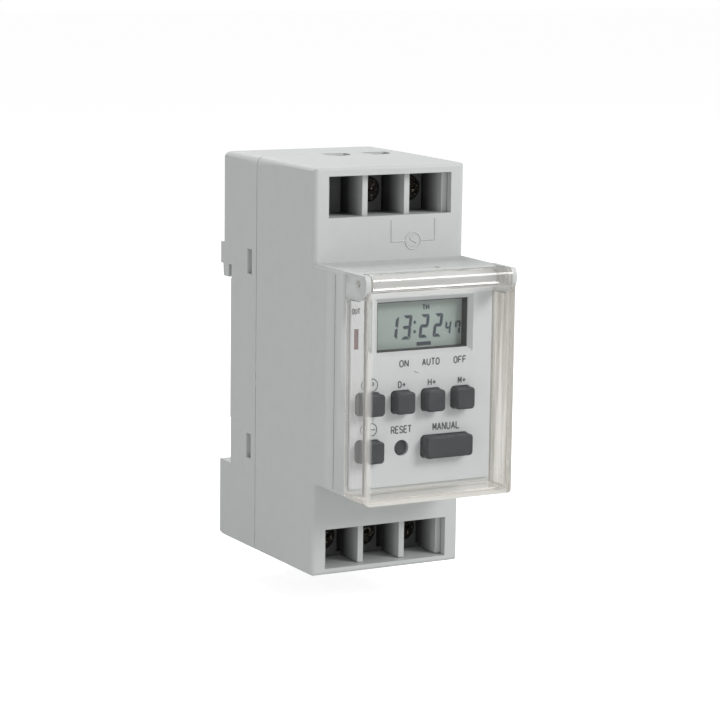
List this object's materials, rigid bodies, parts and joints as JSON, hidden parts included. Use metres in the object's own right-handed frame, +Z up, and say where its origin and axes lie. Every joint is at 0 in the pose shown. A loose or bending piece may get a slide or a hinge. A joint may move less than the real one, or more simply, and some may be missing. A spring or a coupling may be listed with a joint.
{
  "type": "din rail timer",
  "caption": "Two-module weekly timer for a 35 mm mounting rail: grey two-part housing, display and push buttons under a hinged clear cover, rising-clamp screw terminals at both ends.",
  "frame": {"origin": "centre of the rail seat: on the rail's centre line, at the plane where the rail's front face bears", "axes": "+X right, +Z up, +Y from the seat into the rail, so the display faces -Y"},
  "size_m": [0.036, 0.0661, 0.0884],
  "materials": {
    "grey_shell": "fine-textured light grey moulding",
    "panel_plastic": "satin light grey panel",
    "clear_plastic": "polished clear polycarbonate",
    "lcd_face": "grey-green liquid crystal glass",
    "white_plastic": "natural white moulding",
    "pink_rubber": "striped elastomer",
    "green_board": "solder-masked glass epoxy",
    "brown_board": "phenolic paper board",
    "black_plastic": "moulded epoxy",
    "nickel_plate": "nickel plate",
    "spring_steel": "drawn spring wire",
    "red_lens": "unlit red diffused lens",
    "blue_plastic": "glossy blue case",
    "yellow_plastic": "glossy yellow case",
    "dark_sleeve": "heat-shrunk sleeve",
    "tan_ceramic": "lacquered ceramic",
    "brass_strip": "stamped strip",
    "zinc_screw": "zinc plate",
    "dark_screw": "dark passivated steel",
    "zinc_cage": "zinc-plated steel",
    "slate_button": "fine-textured dark grey",
    "brown_plunger": "brown nylon"
  },
  "bodies": {
    "housing": {"front_housing": "grey_shell", "rear_cover": "grey_shell", "front_panel": "panel_plastic", "din_clip_spring": "spring_steel", "upper_terminal_block": "grey_shell", "lower_terminal_block": "grey_shell", "lcd_display": "lcd_face", "lcd_holder": "white_plastic", "zebra_connector": "pink_rubber", "control_pcb": "green_board", "microcontroller": "black_plastic", "quartz_crystal": "nickel_plate", "backup_battery": "nickel_plate", "battery_strap": "nickel_plate", "tact_switches": "black_plastic", "status_led": "red_lens", "power_pcb": "brown_board", "relay": "blue_plastic", "film_capacitor": "yellow_plastic", "electrolytic_capacitor": "dark_sleeve", "varistor": "blue_plastic", "rectifier_diodes": "black_plastic", "dropper_resistor": "tan_ceramic", "board_header": "black_plastic", "contact_bars": "brass_strip", "control_board_screws": "zinc_screw", "power_board_screws": "zinc_screw"},
    "cover": {"clear_cover": "clear_plastic"},
    "rail_clip": {"din_clip": "grey_shell"},
    "button_program": {"button_program": "slate_button", "plunger_program": "brown_plunger"},
    "button_day": {"button_day": "slate_button", "plunger_day": "brown_plunger"},
    "button_hour": {"button_hour": "slate_button", "plunger_hour": "brown_plunger"},
    "button_minute": {"button_minute": "slate_button", "plunger_minute": "brown_plunger"},
    "button_clock": {"button_clock": "slate_button", "plunger_clock": "brown_plunger"},
    "button_manual": {"button_manual": "slate_button", "plunger_manual": "brown_plunger"},
    "button_reset": {"button_reset": "slate_button", "plunger_reset": "brown_plunger"},
    "screw_upper_centre": {"screw_upper_centre": "dark_screw"},
    "cage_upper_centre": {"cage_upper_centre": "zinc_cage"},
    "screw_upper_right": {"screw_upper_right": "dark_screw"},
    "cage_upper_right": {"cage_upper_right": "zinc_cage"},
    "screw_lower_left": {"screw_lower_left": "dark_screw"},
    "cage_lower_left": {"cage_lower_left": "zinc_cage"},
    "screw_lower_centre": {"screw_lower_centre": "dark_screw"},
    "cage_lower_centre": {"cage_lower_centre": "zinc_cage"},
    "screw_lower_right": {"screw_lower_right": "dark_screw"},
    "cage_lower_right": {"cage_lower_right": "zinc_cage"}
  },
  "joints": [
    {"name": "cover_hinge", "type": "hinge", "parent": "housing", "child": "cover", "pos_m": [0, -0.0573, 0.0212], "axis": [-1, 0, 0], "range_deg": [0, 100]},
    {"name": "rail_clip_slide", "type": "slide", "parent": "housing", "child": "rail_clip", "axis": [0, 0, -1], "range_m": [0, 0.0045], "stiffness_N_per_m": 1200, "springref_m": -0.003, "deforming": ["din_clip_spring"]},
    {"name": "press_program", "type": "slide", "parent": "housing", "child": "button_program", "axis": [0, 1, 0], "range_m": [0, 0.0005], "stiffness_N_per_m": 1000, "springref_m": -0.0005},
    {"name": "press_day", "type": "slide", "parent": "housing", "child": "button_day", "axis": [0, 1, 0], "range_m": [0, 0.0005], "stiffness_N_per_m": 1000, "springref_m": -0.0005},
    {"name": "press_hour", "type": "slide", "parent": "housing", "child": "button_hour", "axis": [0, 1, 0], "range_m": [0, 0.0005], "stiffness_N_per_m": 1000, "springref_m": -0.0005},
    {"name": "press_minute", "type": "slide", "parent": "housing", "child": "button_minute", "axis": [0, 1, 0], "range_m": [0, 0.0005], "stiffness_N_per_m": 1000, "springref_m": -0.0005},
    {"name": "press_clock", "type": "slide", "parent": "housing", "child": "button_clock", "axis": [0, 1, 0], "range_m": [0, 0.0005], "stiffness_N_per_m": 1000, "springref_m": -0.0005},
    {"name": "press_manual", "type": "slide", "parent": "housing", "child": "button_manual", "axis": [0, 1, 0], "range_m": [0, 0.0005], "stiffness_N_per_m": 1000, "springref_m": -0.0005},
    {"name": "press_reset", "type": "slide", "parent": "housing", "child": "button_reset", "axis": [0, 1, 0], "range_m": [0, 0.0005], "stiffness_N_per_m": 1000, "springref_m": -0.0005},
    {"name": "turn_screw_upper_centre", "type": "hinge", "parent": "housing", "child": "screw_upper_centre", "pos_m": [0, -0.0286, 0.0368], "axis": [0, 1, 0], "range_deg": [0, 2160]},
    {"name": "lift_cage_upper_centre", "type": "slide", "parent": "housing", "child": "cage_upper_centre", "axis": [0, -1, 0], "range_m": [0, 0.0036]},
    {"name": "turn_screw_upper_right", "type": "hinge", "parent": "housing", "child": "screw_upper_right", "pos_m": [0.0097, -0.0286, 0.0368], "axis": [0, 1, 0], "range_deg": [0, 2160]},
    {"name": "lift_cage_upper_right", "type": "slide", "parent": "housing", "child": "cage_upper_right", "axis": [0, -1, 0], "range_m": [0, 0.0036]},
    {"name": "turn_screw_lower_left", "type": "hinge", "parent": "housing", "child": "screw_lower_left", "pos_m": [-0.0097, -0.0286, -0.0369], "axis": [0, 1, 0], "range_deg": [0, 2160]},
    {"name": "lift_cage_lower_left", "type": "slide", "parent": "housing", "child": "cage_lower_left", "axis": [0, -1, 0], "range_m": [0, 0.0036]},
    {"name": "turn_screw_lower_centre", "type": "hinge", "parent": "housing", "child": "screw_lower_centre", "pos_m": [0, -0.0286, -0.0369], "axis": [0, 1, 0], "range_deg": [0, 2160]},
    {"name": "lift_cage_lower_centre", "type": "slide", "parent": "housing", "child": "cage_lower_centre", "axis": [0, -1, 0], "range_m": [0, 0.0036]},
    {"name": "turn_screw_lower_right", "type": "hinge", "parent": "housing", "child": "screw_lower_right", "pos_m": [0.0097, -0.0286, -0.0369], "axis": [0, 1, 0], "range_deg": [0, 2160]},
    {"name": "lift_cage_lower_right", "type": "slide", "parent": "housing", "child": "cage_lower_right", "axis": [0, -1, 0], "range_m": [0, 0.0036]}
  ],
  "couplings": [
    {"joint": "turn_screw_upper_centre", "follows": "lift_cage_upper_centre", "rad_per_m": 10472},
    {"joint": "turn_screw_upper_right", "follows": "lift_cage_upper_right", "rad_per_m": 10472},
    {"joint": "turn_screw_lower_left", "follows": "lift_cage_lower_left", "rad_per_m": 10472},
    {"joint": "turn_screw_lower_centre", "follows": "lift_cage_lower_centre", "rad_per_m": 10472},
    {"joint": "turn_screw_lower_right", "follows": "lift_cage_lower_right", "rad_per_m": 10472}
  ]
}
